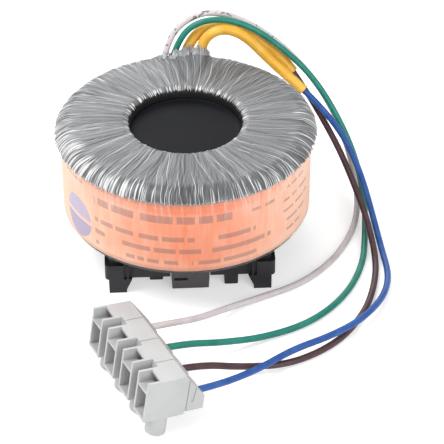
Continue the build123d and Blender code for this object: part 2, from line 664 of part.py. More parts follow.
def along_depth(radius, x0, x1, y, z):
    """Round bar from front to rear of the housing."""
    return Pos(x0, y, z) * Rot(0, 90, 0) * Cylinder(
        radius, x1 - x0, align=(Align.CENTER, Align.CENTER, Align.MIN)
    )


def cell_cavity(y):
    """One pole's room: the mouth in front, and over it a recess that is open above."""
    half = CELL_WIDTH / 2 - CELL_WALL
    roof_z = CELL_HEIGHT - CELL_WALL
    mouth_top = CELL_FLOOR + MOUTH_HEIGHT
    room = block(0, CAVITY_DEPTH, y - half, y + half, CELL_FLOOR, roof_z)
    room += block(0, TOP_HOLE_REAR_X, y - half, y + half, roof_z, CELL_HEIGHT)
    return room - block(0, WEB_DEPTH, y - half, y + half, mouth_top, mouth_top + WEB_THICK)


def wire_entry(y):
    """Stepped bore from the rear into the cell, for the insulation and then the bare wire."""
    bore = along_depth(LEAD_BORE_R, LEAD_BORE_END_X, CELL_DEPTH, y, LEAD_AXIS_Z)
    bore += along_depth(CONDUCTOR_BORE_R, CAVITY_DEPTH, LEAD_BORE_END_X, y, LEAD_AXIS_Z)
    lead_in = Pos(CELL_DEPTH, y, LEAD_AXIS_Z) * Rot(0, -90, 0) * Cone(
        LEAD_BORE_R + LEAD_BORE_LEAD_IN, LEAD_BORE_R, LEAD_BORE_LEAD_IN,
        align=(Align.CENTER, Align.CENTER, Align.MIN),
    )
    return bore + lead_in


def cell_gaps(y_low, y_high):
    """The slit in front, the gap at the rear and the seam on top between two poles."""
    middle = (y_low + y_high) / 2
    slit = block(0, SLIT_DEPTH, y_low, y_high, 0, CELL_HEIGHT)
    gap = block(NOTCH_FRONT_X, CELL_DEPTH, y_low, y_high, 0, CELL_HEIGHT)
    seam = block(
        SLIT_DEPTH, CELL_TOP_DEPTH, middle - SEAM / 2, middle + SEAM / 2, CELL_HEIGHT - SEAM, CELL_HEIGHT
    )
    return [slit, gap, seam]


def end_marks():
    """Upright seam and tapered groove on the last pole's end face."""
    end = (-HOUSING_WIDTH, SEAM - HOUSING_WIDTH)
    seam = block(SEAM_X, SEAM_X + SEAM, *end, CELL_REAR_STEP, CELL_HEIGHT)
    key = (
        (KEY_X, KEY_LOW_Z), (KEY_X + KEY_LOW_WIDTH, KEY_LOW_Z),
        (KEY_X + KEY_HIGH_WIDTH, KEY_HIGH_Z), (KEY_X, KEY_HIGH_Z),
    )
    return seam + front_profile(key, *end)


def terminal_housing():
    bar = housing_bar()
    for pole in range(POLE_COUNT):
        bar += Pos(BOSS_X, pole_y(pole), 0) * Cylinder(
            BOSS_R, BOSS_HEIGHT, align=(Align.CENTER, Align.CENTER, Align.MAX)
        )
    for pole in range(POLE_COUNT):
        bar -= cell_cavity(pole_y(pole))
        bar -= wire_entry(pole_y(pole))
    for pole in range(POLE_COUNT - 1):
        bar -= cell_gaps(pole_y(pole + 1) + CELL_WIDTH / 2, pole_y(pole) - CELL_WIDTH / 2)
    return bar - end_marks()


def contact(pole):
    """Contact bar under the conductor, bent down to the cell's floor."""
    y = pole_y(pole)
    top_z = LEAD_AXIS_Z - CONDUCTOR_R - SEAT
    rear_x = CAVITY_DEPTH - SEAT
    floor_z = CELL_FLOOR + SEAT
    outline = (
        (CONTACT_FRONT_X, top_z), (rear_x, top_z), (rear_x, top_z - CONTACT_THICK),
        (CONTACT_FRONT_X + CONTACT_THICK, top_z - CONTACT_THICK),
        (CONTACT_FRONT_X + CONTACT_THICK, floor_z + CONTACT_THICK), (rear_x, floor_z + CONTACT_THICK),
        (rear_x, floor_z), (CONTACT_FRONT_X, floor_z),
    )
    return front_profile(outline, y - CONTACT_WIDTH / 2, y + CONTACT_WIDTH / 2)


def grip_spring(pole):
    """Bent strip that presses the conductor onto the contact."""
    y = pole_y(pole)
    half = SPRING_STRIP / 2
    tip_z = LEAD_AXIS_Z + CONDUCTOR_R + SEAT + half
    roof_z = CELL_HEIGHT - CELL_WALL - SEAT - half
    rear_x = CAVITY_DEPTH - GRIP_REAR_GAP
    press_x = CONDUCTOR_TIP_X + GRIP_TIP_X
    line = FilletPolyline(
        (rear_x, roof_z - GRIP_TAIL), (rear_x - GRIP_TAIL, roof_z),
        (GRIP_FRONT_X + GRIP_SHOULDER, roof_z), (GRIP_FRONT_X, roof_z - GRIP_DROP),
        (press_x, tip_z), (press_x + GRIP_LIP_LENGTH, tip_z + GRIP_LIP_RISE),
        radius=SPRING_STRIP_BEND_R,
    )
    strip = Plane.XZ * trace(line, line_width=SPRING_STRIP)
    return Pos(0, y - SPRING_STRIP_WIDTH / 2, 0) * extrude(
        strip, amount=SPRING_STRIP_WIDTH, dir=(0, 1, 0)
    )


def conductor_end(pole):
    """Bared conductor between the lead's end and the contact."""
    end_x = LEAD_END_X - SEAT
    return along_depth(CONDUCTOR_R, CONDUCTOR_TIP_X, end_x, pole_y(pole), LEAD_AXIS_Z)


def build_nodes():
    nodes = {"core": core()}
    nodes.update(wound_layers())
    nodes["rating_label"] = rating_label()
    nodes["outer_film"] = outer_film()
    nodes["centre_potting"] = centre_potting()
    nodes["mounting_base"] = mounting_base()
    nodes["rail_latch"] = rail_latch()
    nodes["latch_spring"] = latch_spring()
    nodes["terminal_housing"] = HOUSING_PLACE * terminal_housing()
    for pole, colour in enumerate(POLE_COLOURS):
        nodes["lead_" + colour] = lead_tube(colour, LEAD_R)
        if colour in SLEEVE_RUNS:
            nodes["sleeve_" + colour] = sleeve(colour)
        nodes["conductor_" + colour] = HOUSING_PLACE * conductor_end(pole)
        nodes["contact_" + colour] = HOUSING_PLACE * contact(pole)
        nodes["grip_spring_" + colour] = HOUSING_PLACE * grip_spring(pole)
    return nodes


def report_leads(nodes):
    """Prints each lead's length, tightest arc and volume against section times length."""
    for colour in POLE_COLOURS:
        path = lead_path(colour)
        ratio = nodes["lead_" + colour].volume / (pi * LEAD_R**2 * path.length)
        radii = [round(radius, 1) for radius in corner_radii(ROUTES[colour])]
        print(colour, "length", round(path.length, 1), "volume ratio", round(ratio, 4), "radii", radii)


model = build_nodes()
report_leads(model)
for name, solid in model.items():
    export_step(solid, f"parts/{name}.step")
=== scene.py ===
from math import cos, pi, radians, sin

import bmesh
import bpy
import numpy as np
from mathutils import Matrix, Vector


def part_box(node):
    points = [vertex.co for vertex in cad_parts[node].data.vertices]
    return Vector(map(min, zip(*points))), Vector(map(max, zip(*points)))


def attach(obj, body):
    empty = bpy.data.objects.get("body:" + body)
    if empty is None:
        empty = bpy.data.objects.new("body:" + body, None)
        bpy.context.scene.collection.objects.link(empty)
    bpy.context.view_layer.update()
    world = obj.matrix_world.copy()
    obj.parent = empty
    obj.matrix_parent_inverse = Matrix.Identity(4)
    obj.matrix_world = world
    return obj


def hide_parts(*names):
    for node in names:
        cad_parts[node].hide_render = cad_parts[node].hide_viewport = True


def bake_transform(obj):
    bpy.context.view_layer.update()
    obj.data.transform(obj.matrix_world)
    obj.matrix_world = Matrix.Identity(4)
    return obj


# Toroidal transformer on a rail base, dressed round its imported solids. Metres, +Z up.

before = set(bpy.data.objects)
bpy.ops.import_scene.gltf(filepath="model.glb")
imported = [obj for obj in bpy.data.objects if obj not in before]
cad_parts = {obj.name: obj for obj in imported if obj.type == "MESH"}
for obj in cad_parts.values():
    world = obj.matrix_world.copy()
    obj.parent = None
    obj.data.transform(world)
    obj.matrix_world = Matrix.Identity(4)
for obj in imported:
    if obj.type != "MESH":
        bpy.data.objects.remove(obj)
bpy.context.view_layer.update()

MM = 0.001
BODY = "transformer"
LATCH = "latch"

# ---- View ----
IMAGE_WIDTH_MM = 36.0
FOCAL_WIDTHS = 4.099  # focal length in image widths
AIM = Vector((0.0115, 0.0, 0.0054))
CAMERA_DISTANCE = 0.6
CAMERA_RISE = 36.9  # degrees
CAMERA_TURN = -3.02
NEAR_CLIP = 0.01

# ---- Leads: each one's route from the ring to its pole, as in the part's source ----
LEAD_R = 1.05 * MM
SLEEVE_R = 1.75 * MM
SLEEVE_BORE_R = 1.15 * MM
SLEEVE_SIDES = 28
LEAD_STEPS = 14  # of the curve between two points of its route
LEAD_BEVEL_STEPS = 6
ROUTES = {
    "white": (
        (-5.8, 36.8, 46.4), (-4.2, 38.6, 52.4), (0.6, 41, 57.8), (9.2, 42.3, 61), (20, 42.4, 57.7),
        (31.2, 41.4, 50.3), (41.8, 39, 39.6), (50.8, 35.3, 26.4), (56.5, 28.5, 12.6), (58.6, 17.5, 3),
        (56.8, 5, 1.05), (52.2, -7.5, 1.05), (45, -19, 1.05), (34.5, -28.8, 1.05), (22, -34.5, 1.05),
        (10.8, -41, 2.4), (1.6, -49.8, 6), (-7.69, -55.37, 9.1), (-16.71, -59.41, 10.66),
    ),
    "green": (
        (-3, 37, 46.4), (-0.8, 38.3, 52.6), (4.4, 39.2, 58.1), (13.2, 39.5, 59.7), (23.5, 39.3, 56.2),
        (34, 38.2, 48), (43.8, 36, 38.4), (52, 31, 26), (58.2, 22.5, 13.5), (60, 9.5, 4.2),
        (58.6, -4.5, 1.05), (56, -20, 1.05), (49, -35, 1.05), (37, -47.5, 1.05), (22, -54.2, 1.3),
        (8, -59.6, 4.4), (-3.38, -65, 9.1), (-12.4, -69.04, 10.66),
    ),
    "brown": (
        (1, 37.8, 46.4), (2.8, 39.6, 51), (7.6, 41.4, 55), (15.4, 42.5, 55.4), (24.6, 42.6, 50.6),
        (34.2, 41.2, 42.9), (41.2, 37.4, 33), (47, 30.4, 25.2), (52.2, 20.6, 18.4), (56, 9.4, 12.4),
        (59.3, -3, 6.6), (60.8, -17, 1.05), (58.6, -30.5, 1.05), (53.8, -44, 1.05), (44, -57.8, 1.05),
        (29, -66.8, 1.05), (14, -70, 3.4), (0.93, -74.63, 9.1), (-8.09, -78.67, 10.66),
    ),
    "blue": (
        (6.4, 37, 46.4), (6.6, 37.3, 51), (9.6, 37.7, 55.2), (14.9, 37.9, 56.7), (21.4, 37.5, 53.8),
        (28.8, 36.4, 45.6), (36.2, 34.3, 38.8), (44.8, 30.6, 31.6), (53.6, 22.8, 23),
        (58.6, 12.2, 14.2), (61.2, 1, 6.8), (63.1, -12, 1.3), (64, -26, 1.05), (60, -39, 2.2),
        (51.2, -51, 3.7), (41.2, -57.8, 3.8), (29.4, -63.8, 4.2), (18.4, -73, 4.9),
        (5.24, -84.26, 9.1), (-3.78, -88.3, 10.66),
    ),
}
SLEEVE_LENGTHS = {"brown": 0.0475, "blue": 0.049}  # along the lead, from where it leaves the ring

# ---- Moulded edges ----
HOUSING_EDGE = 0.18 * MM
BASE_EDGE = 0.15 * MM
SAME_POINT = 2e-6
FLAT_ANGLE = radians(1)  # faces that turn by less are joined
SHARP_ANGLE = radians(35)  # edges that turn by more are rounded

# ---- Film, label and potting on the ring ----
FILM_OVER_WRAP = 0.3 * MM
FILM_OVER_LABEL = 0.3 * MM
FILM_IN_HOLE = 0.05 * MM
FILM_SKIN = 0.6 * MM
FILM_CLEAR_RISE = 1.3 * MM  # how far over the label's top the film starts to be clear
FILM_DOWN_HOLE = 4.0 * MM  # below the top of the potting
SIDE_FLARE = 2.1 * MM  # the film's side stands out by this much at its top
TOP_OUTER_R = 6.6 * MM
TOP_INNER_R = 2.6 * MM
FILM_COLUMNS = 1440
HOLE_ROWS = 6  # points of the film's section: hole, its edge, top, shoulder and side
EDGE_ROWS = 12
TOP_ROWS = 15
SHOULDER_ROWS = 21
SIDE_ROWS = 9
PLEATS = 430
PLEAT_WIDTH = 0.009  # radians
WIDE_PLEAT_WIDTH = 0.03
PLEAT_FADE = 0.12  # shares of the section's length
PLEAT_LOW_START = 0.78
GATHER_LEFT = -10.5 * MM  # film gathered round the leads
GATHER_RIGHT = 10.2 * MM
GATHER_Y = 35.2 * MM
GATHER_RISE = 1.4 * MM
GATHER_RISE_RIGHT = 1.6 * MM  # how much higher it is drawn on the right
GROOVE_DEPTH = 0.2 * MM  # crease from the gathered film down to the hole
GROOVE_HALF_WIDTH = 1.1 * MM
GROOVE_SHIFT = 1.8 * MM
GROOVE_SLOPE = 0.22
PLEAT_SIZE = 0.11 * MM
WIDE_PLEAT_SIZE = 0.06 * MM
PLEAT_LIMITS = (-0.28 * MM, 0.34 * MM)
FLAP_THICK = 0.2 * MM
FLAP_COLUMNS = 40
FLAP_POINTS_UP = 12
FLAPS = (  # mm: middle, half width, height over the film, distance in front, lean to the right
    (-5.0, 2.0, 2.0, 0.9, -0.2), (-3.2, 1.9, 2.3, 1.5, 0.2), (-1.2, 1.9, 3.4, 0.7, -0.3),
    (0.8, 2.1, 4.8, 1.4, 0.1), (3.1, 2.4, 5.2, 0.6, 0.0), (5.2, 2.2, 5.3, 1.3, 0.4),
    (7.0, 1.6, 4.2, 0.5, 0.7),
)
LABEL_HALF_ARC = radians(120)
LABEL_THICK = 0.18 * MM
LABEL_WAVE = 0.03 * MM
LABEL_COLUMNS = 200
LABEL_POINTS_UP = 14
POTTING_CLIMB = 0.8 * MM
POTTING_COLUMNS = 300
POTTING_SECTION = (  # shares of the hole's radius and of the climb up its wall
    (0.12, 0.0), (0.4, 0.0), (0.7, 0.0), (0.88, 0.03), (0.94, 0.12), (0.975, 0.35), (0.999, 1.0),
)

# ---- Colours, as a screen shows them ----
FILM_DARK = (56, 57, 59)
FILM_LIGHT = (115, 116, 118)
STRAND_BRIGHT = (228, 230, 231)
STRAND_DARK = (84, 85, 87)
# Painted shadow along the crease from the gathered film down to the hole.
GROOVE_SHADE = (70, 71, 73)
# Painted highlight on the crease ends at the film's shoulder.
CREASE_GLINT = (240, 240, 240)
# Painted shade in the crease ends at the film's shoulder.
CREASE_SHADE = (44, 44, 48)
# Painted highlight on the hole's rim.
RIM_GLINT = (250, 250, 250)
HOLE_BLACK = (16, 16, 18)
FILM_CLEAR = (0.9, 0.9, 0.9, 1.0)  # linear, as the shader takes it
TUFT_DARK = (146, 147, 149)
TUFT_LIGHT = (206, 207, 208)
TUFT_LINES = (240, 241, 242)
LABEL_ORANGE = (244, 130, 80)
# Pale end of the paper: painted reflection of the film over it, partly real fading.
LABEL_PALE = (251, 200, 171)
LABEL_INK = (112, 84, 84)
PATCH_HIGH = (166, 168, 204)
PATCH_LOW = (140, 144, 188)
LEAD_SHADES = {
    "white": ((212, 203, 205), (198, 188, 190)),
    "green": ((14, 116, 100), (34, 132, 116)),
    "brown": ((62, 38, 43), (78, 52, 56)),
    "blue": ((21, 71, 142), (43, 90, 158)),
}
WHITE_LEAD_SPECKS = 0.8
SPECK_SHADE = (96, 90, 90)
POLE_METALS = (
    ("conductor", (196, 190, 180), (214, 208, 198)),
    ("contact", (176, 160, 120), (204, 192, 156)),
    ("grip_spring", (150, 150, 152), (190, 190, 192)),
)

# Rows of print as plain bars: shares of the label's height, angles from the front, word spacing.
LABEL_ROWS = (
    (0.71, 0.83, -0.83, 0.35, 13.0), (0.73, 0.79, 0.49, 0.74, 16.0),
    (0.44, 0.52, -0.83, 0.03, 15.0), (0.44, 0.52, 0.21, 0.53, 15.0),
    (0.26, 0.34, -0.83, -0.72, 15.0), (0.26, 0.34, -0.56, 0.11, 15.0), (0.26, 0.34, 0.16, 0.68, 15.0),
    (0.09, 0.16, -0.83, -0.75, 15.0), (0.09, 0.16, -0.53, -0.1, 15.0), (0.09, 0.16, 0.0, 0.54, 15.0),
    (0.8, 0.85, 0.86, 1.14, 18.0), (0.62, 0.67, 0.82, 1.2, 18.0), (0.46, 0.51, 0.82, 1.22, 18.0),
    (0.3, 0.35, 0.84, 1.16, 18.0), (0.15, 0.2, 0.86, 1.1, 18.0), (0.87, 0.92, -1.23, -0.96, 20.0),
)
PRINT_EDGE_UP = 0.012
PRINT_EDGE_ROUND = 0.006
PATCH_ANGLE = -1.05
PATCH_HALF_ARC = 0.185
PATCH_UP = 0.33
PATCH_HALF_UP = 0.3

# ---- Light and ground ----
WORLD_LIGHT = 0.5
FLOOR_GLOW = 0.45
FLOOR_SHADE = (233, 233, 233)
FLOOR_REACH = 4.0
LIGHTS = (  # name, place, aim, size, power
    ("key", (-0.45, -0.1, 0.75), (0, 0, 0.03), 0.5, 5.5),
    ("fill", (0.4, -0.75, 0.45), (0, -0.02, 0.02), 0.6, 4.0),
    ("rim", (-0.1, 0.7, 0.6), (0, 0, 0.04), 0.5, 3.0),
)


# ---- Materials: a socket that can be reckoned with, and one method for every node ----

class Value:
    """A value socket; arithmetic on it adds Math nodes."""

    def __init__(self, tree, socket):
        self.tree = tree
        self.socket = socket

    def math(self, operation, *others, clamp=False):
        return self.tree.math(operation, self, *others, clamp=clamp)

    def __add__(self, other):
        return self.math("ADD", other)

    __radd__ = __add__

    def __sub__(self, other):
        return self.math("SUBTRACT", other)

    def __rsub__(self, other):
        return self.tree.math("SUBTRACT", other, self)

    def __mul__(self, other):
        return self.math("MULTIPLY", other)

    def __truediv__(self, other):
        return self.math("DIVIDE", other)

    def __pow__(self, other):
        return self.math("POWER", other)


class Tree:
    """A node tree, with one method that adds any node to it."""

    def __init__(self, tree):
        self.nodes = tree.nodes
        self.links = tree.links

    def connect(self, socket, value):
        if isinstance(value, Value):
            self.links.new(value.socket, socket)
        else:
            socket.default_value = value

    def node(self, kind, settings=None, values=None, output=0):
        """Adds a node: its settings first, then the values or links of its sockets."""
        made = self.nodes.new(kind)
        for name, value in (settings or {}).items():
            setattr(made, name, value)
        for name, value in (values or {}).items():
            self.connect(made.inputs[name], value)
        return Value(self, made.outputs[output])

    def math(self, operation, *terms, clamp=False):
        settings = {"operation": operation, "use_clamp": clamp}
        return self.node("ShaderNodeMath", settings, dict(enumerate(terms)))

    def seen_share(self):
        """1 for what the camera sees directly, in a reflection or through something clear."""
        seen = self.node("ShaderNodeLightPath", output="Is Camera Ray")
        mirrored = self.node("ShaderNodeLightPath", output="Is Glossy Ray")
        through = self.node("ShaderNodeLightPath", output="Is Transmission Ray")
        return (seen + mirrored).math("ADD", through, clamp=True)


class Finish(Tree):
    """One material: its shader and the nodes that vary it."""

    def __init__(self, name, **constants):
        self.material = bpy.data.materials.new(name)
        self.material.use_nodes = True
        super().__init__(self.material.node_tree)
        self.shader = self.nodes["Principled BSDF"]
        for socket, value in constants.items():
            self.shader.inputs[socket.replace("_", " ")].default_value = value

    def drive(self, socket, value):
        """Feeds a varying value or colour into one of the shader's sockets."""
        self.connect(self.shader.inputs[socket], value)

    def place(self):
        return self.node("ShaderNodeTexCoord", output="Object")

    def axes(self, position):
        """The x, y and z of a position."""
        parts = self.node("ShaderNodeSeparateXYZ", values={0: position})
        return [Value(self, output) for output in parts.socket.node.outputs]

    def angle(self, across, ahead):
        return self.math("ARCTAN2", across, ahead)

    def vector(self, x, y, z):
        return self.node("ShaderNodeCombineXYZ", values={0: x, 1: y, 2: z})

    def scaled(self, position, x, y, z):
        settings = {"operation": "MULTIPLY"}
        return self.node("ShaderNodeVectorMath", settings, {0: position, 1: (x, y, z)})

    def noise(self, position, scale, detail=2.0, roughness=0.5):
        values = {"Vector": position, "Scale": scale, "Detail": detail, "Roughness": roughness}
        return self.node("ShaderNodeTexNoise", values=values)

    def ramp(self, value, low, high):
        """0 below low, 1 above high, smooth between."""
        settings = {"interpolation_type": "SMOOTHSTEP"}
        values = {"Value": value, "From Min": low, "From Max": high}
        return self.node("ShaderNodeMapRange", settings, values)

    def mix(self, factor, first, second):
        settings = {"data_type": "RGBA"}
        return self.node("ShaderNodeMix", settings, {0: factor, 6: first, 7: second}, output=2)

    def bump(self, height, strength, distance):
        values = {"Strength": strength, "Distance": distance, "Height": height}
        self.drive("Normal", self.node("ShaderNodeBump", values=values))

    def give(self, *objects):
        for item in objects:
            item.data.materials.clear()
            item.data.materials.append(self.material)


def color(red, green, blue):
    """Linear colour from the value it shows on a screen, 0 to 255."""
    def linear(value):
        share = value / 255
        return share / 12.92 if share <= 0.04045 else ((share + 0.055) / 1.055) ** 2.4
    return (linear(red), linear(green), linear(blue), 1.0)


# ---- Mesh building ----

def new_piece(name, points, faces, body=BODY):
    """A closed mesh piece on its body, its faces turned outwards."""
    mesh = bpy.data.meshes.new(name)
    mesh.from_pydata([tuple(point) for point in points], [], [tuple(face) for face in faces])
    mesh.validate()
    piece = bpy.data.objects.new(name, mesh)
    bpy.context.scene.collection.objects.link(piece)
    mesh.shade_smooth()
    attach(piece, body)
    work = bmesh.new()
    work.from_mesh(mesh)
    bmesh.ops.recalc_face_normals(work, faces=work.faces)
    work.to_mesh(mesh)
    work.free()
    return piece


def ring_faces(rows, columns, closed_rows):
    """Quads of a grid whose columns go round; its rows go round too where closed_rows is set."""
    faces = []
    last = rows if closed_rows else rows - 1
    for row in range(last):
        above = (row + 1) % rows
        for column in range(columns):
            beside = (column + 1) % columns
            faces.append((
                row * columns + column, row * columns + beside,
                above * columns + beside, above * columns + column,
            ))
    return faces


# ---- Moulded pieces with softened edges, and the latch's spring ----

def softened(node, name, radius, body=BODY):
    """A moulding's own solid with its edges rounded as a mould leaves them."""
    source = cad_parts[node]
    mesh = source.data.copy()
    mesh.name = name
    work = bmesh.new()
    work.from_mesh(mesh)
    bmesh.ops.remove_doubles(work, verts=work.verts, dist=SAME_POINT)
    bmesh.ops.dissolve_limit(
        work, angle_limit=FLAT_ANGLE, verts=work.verts, edges=work.edges, delimit=set(),
    )
    sharp = [
        edge for edge in work.edges
        if len(edge.link_faces) == 2 and edge.calc_face_angle(0.0) > SHARP_ANGLE
    ]
    bmesh.ops.bevel(
        work, geom=sharp, offset=radius, segments=2, profile=0.5, affect="EDGES",
        clamp_overlap=True,
    )
    bmesh.ops.recalc_face_normals(work, faces=work.faces)
    work.to_mesh(mesh)
    work.free()
    mesh.shade_smooth()
    piece = bpy.data.objects.new(name, mesh)
    bpy.context.scene.collection.objects.link(piece)
    weighted = piece.modifiers.new("even_normals", "WEIGHTED_NORMAL")
    weighted.keep_sharp = True
    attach(piece, body)
    return piece


housing = softened("terminal_housing", "housing_moulding", HOUSING_EDGE)
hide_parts("terminal_housing")
base = softened("mounting_base", "base_moulding", BASE_EDGE)
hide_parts("mounting_base")
latch = softened("rail_latch", "latch_moulding", BASE_EDGE, LATCH)
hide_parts("rail_latch")


def spring_piece():
    """The latch's coil spring: its own solid copied and shaded smooth."""
    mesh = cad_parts["latch_spring"].data.copy()
    mesh.shade_smooth()
    piece = bpy.data.objects.new("spring_coil", mesh)
    bpy.context.scene.collection.objects.link(piece)
    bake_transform(piece)
    return piece


spring = spring_piece()
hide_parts("latch_spring")


# ---- Leads and their sleeves ----

def lead_curve(colour):
    """A lead as one smooth spline along its route."""
    route = [Vector(point) * MM for point in ROUTES[colour]]
    curve = bpy.data.curves.new("lead_line_" + colour, "CURVE")
    curve.dimensions = "3D"
    spline = curve.splines.new("NURBS")
    spline.points.add(len(route) - 1)
    for point, place in zip(spline.points, route):
        point.co = (*place, 1)
        point.radius = LEAD_R  # the bevel is a full metre deep, scaled by this
    spline.order_u = 3
    spline.use_endpoint_u = True
    spline.resolution_u = LEAD_STEPS
    piece = bpy.data.objects.new("lead_wire_" + colour, curve)
    bpy.context.scene.collection.objects.link(piece)
    return piece


def line_points(piece):
    """The points of a spline, while its curve has no bevel yet."""
    depsgraph = bpy.context.evaluated_depsgraph_get()
    mesh = bpy.data.meshes.new_from_object(piece.evaluated_get(depsgraph))
    points = [vertex.co.copy() for vertex in mesh.vertices]
    bpy.data.meshes.remove(mesh)
    return points


def sleeve_piece(colour, points):
    """Insulating tube over a lead's first stretch, open at its cut ends."""
    stretch = [points[0]]
    walked = 0.0
    for before, after in zip(points, points[1:]):
        step = (after - before).length
        if walked + step > SLEEVE_LENGTHS[colour]:
            rest = SLEEVE_LENGTHS[colour] - walked
            stretch.append(before + (after - before).normalized() * rest)
            break
        walked += step
        if step > 0:
            stretch.append(after)
    side = Vector((0, 1, 0))
    outer = []
    inner = []
    for index, centre in enumerate(stretch):
        ahead = stretch[min(index + 1, len(stretch) - 1)]
        behind = stretch[max(index - 1, 0)]
        along = (ahead - behind).normalized()
        side = (side - along * side.dot(along)).normalized()
        up = along.cross(side)
        for ring, radius in ((outer, SLEEVE_R), (inner, SLEEVE_BORE_R)):
            for step in range(SLEEVE_SIDES):
                angle = 2 * pi * step / SLEEVE_SIDES
                ring.append(centre + (side * cos(angle) + up * sin(angle)) * radius)
    rows = len(stretch)
    backwards = [
        inner[row * SLEEVE_SIDES + step]
        for row in reversed(range(rows)) for step in range(SLEEVE_SIDES)
    ]
    faces = ring_faces(2 * rows, SLEEVE_SIDES, True)
    return new_piece("sleeve_tube_" + colour, outer + backwards, faces)


leads = {}
sleeves = {}
for colour in ROUTES:
    lead = lead_curve(colour)
    line = line_points(lead)
    lead.data.bevel_depth = 1.0
    lead.data.bevel_resolution = LEAD_BEVEL_STEPS
    lead.data.use_fill_caps = True
    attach(lead, BODY)
    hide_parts("lead_" + colour)
    leads[colour] = lead
    on_it = [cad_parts[kind + colour] for kind in ("conductor_", "contact_", "grip_spring_")]
    on_it.append(housing)
    if colour in SLEEVE_LENGTHS:
        sleeves[colour] = sleeve_piece(colour, line)
        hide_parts("sleeve_" + colour)
        on_it.append(sleeves[colour])


# ---- Ring: film, label and potting ----

WRAP_LOW, WRAP_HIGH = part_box("winding_wrap")
LABEL_LOW, LABEL_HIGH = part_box("rating_label")
POTTING_LOW, POTTING_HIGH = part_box("centre_potting")
FILM_LOW, FILM_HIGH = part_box("outer_film")
FILM_TOP_Z = WRAP_HIGH.z + FILM_OVER_WRAP
FILM_BOTTOM_Z = FILM_LOW.z
HOLE_R = POTTING_HIGH.x + FILM_IN_HOLE
LABEL_R = -LABEL_LOW.y
SIDE_R = LABEL_R + FILM_OVER_LABEL
FILM_CLEAR_Z = LABEL_HIGH.z + FILM_CLEAR_RISE


def film_profile():
    """Points (r, z) of the film's outside, up the hole, over the top and down the side, and
    the way that each one faces."""
    lean = SIDE_FLARE / (FILM_TOP_Z - FILM_BOTTOM_Z)
    inner_r = HOLE_R + TOP_INNER_R
    shoulder_r = SIDE_R + SIDE_FLARE - TOP_OUTER_R
    profile = []
    low = POTTING_HIGH.z - FILM_DOWN_HOLE
    for share in np.linspace(0, 1, HOLE_ROWS):
        profile.append((HOLE_R, low + (FILM_TOP_Z - TOP_INNER_R - low) * share, -1.0, 0.0))
    for angle in np.linspace(pi, pi / 2, EDGE_ROWS)[1:]:
        profile.append((
            inner_r + TOP_INNER_R * cos(angle), FILM_TOP_Z - TOP_INNER_R * (1 - sin(angle)),
            cos(angle), sin(angle),
        ))
    for share in np.linspace(0, 1, TOP_ROWS)[1:-1]:
        profile.append((inner_r + (shoulder_r - inner_r) * share, FILM_TOP_Z, 0.0, 1.0))
    for angle in np.linspace(pi / 2, -lean, SHOULDER_ROWS):
        profile.append((
            shoulder_r + TOP_OUTER_R * cos(angle), FILM_TOP_Z - TOP_OUTER_R * (1 - sin(angle)),
            cos(angle), sin(angle),
        ))
    side_r, side_z = profile[-1][:2]
    for share in np.linspace(0, 1, SIDE_ROWS)[1:]:
        profile.append((
            side_r + (SIDE_R - side_r) * share, side_z + (FILM_BOTTOM_Z - side_z) * share, 1.0, -lean,
        ))
    return np.array(profile)


def pleat_height(angle, along, widest):
    """Height of the creases at each angle round the ring and length along the section:
    narrow folds that start and stop at their own places and lean a little."""
    draw = np.random.default_rng(7)
    height = np.zeros(np.broadcast(angle, along).shape)
    for _ in range(PLEATS):
        middle = draw.uniform(0, 2 * pi)
        lean = draw.normal(0, 0.045)
        bend = draw.normal(0, 0.03)
        width = draw.uniform(0.4, 1.0) * widest
        start = draw.uniform(-0.1, 0.45)
        end = start + draw.uniform(0.35, 0.9)
        size = draw.uniform(0.25, 1.0) * draw.choice([1.0, 1.0, -0.8])
        path = middle + lean * along + bend * np.sin(along * 7)
        away = (angle - path + pi) % (2 * pi) - pi
        rise = share_of(along - start, PLEAT_FADE) * share_of(end - along, PLEAT_FADE)
        height += size * rise * np.exp(-((away / width) ** 2))
    return height


def share_of(distance, length):
    """How much of a length is reached, from 0 to 1."""
    return np.clip(distance / length, 0, 1)


def fold_rise(x, y):
    """How high the film is drawn up round the leads: low on the left, higher on the right."""
    left = share_of(x - GATHER_LEFT, 6 * MM)
    right = share_of(GATHER_RIGHT - x, 3 * MM)
    high = share_of(x + 2 * MM, 3 * MM)
    front = share_of(y - (GATHER_Y - 10 * MM), 11 * MM)
    back = share_of(GATHER_Y + 8 * MM - y, 5 * MM)
    return (GATHER_RISE + GATHER_RISE_RIGHT * high) * left * right * front**2 * back**0.7


def gather_groove(x, y):
    """Depth of the crease that runs from the gathered film down to the hole."""
    reach = share_of(y - HOLE_R, 5 * MM) * share_of(GATHER_Y - y, 4 * MM)
    path = GROOVE_SHIFT - GROOVE_SLOPE * (GATHER_Y - y)
    return GROOVE_DEPTH * reach * np.exp(-(((x + path) / GROOVE_HALF_WIDTH) ** 2)) * (y > 0)


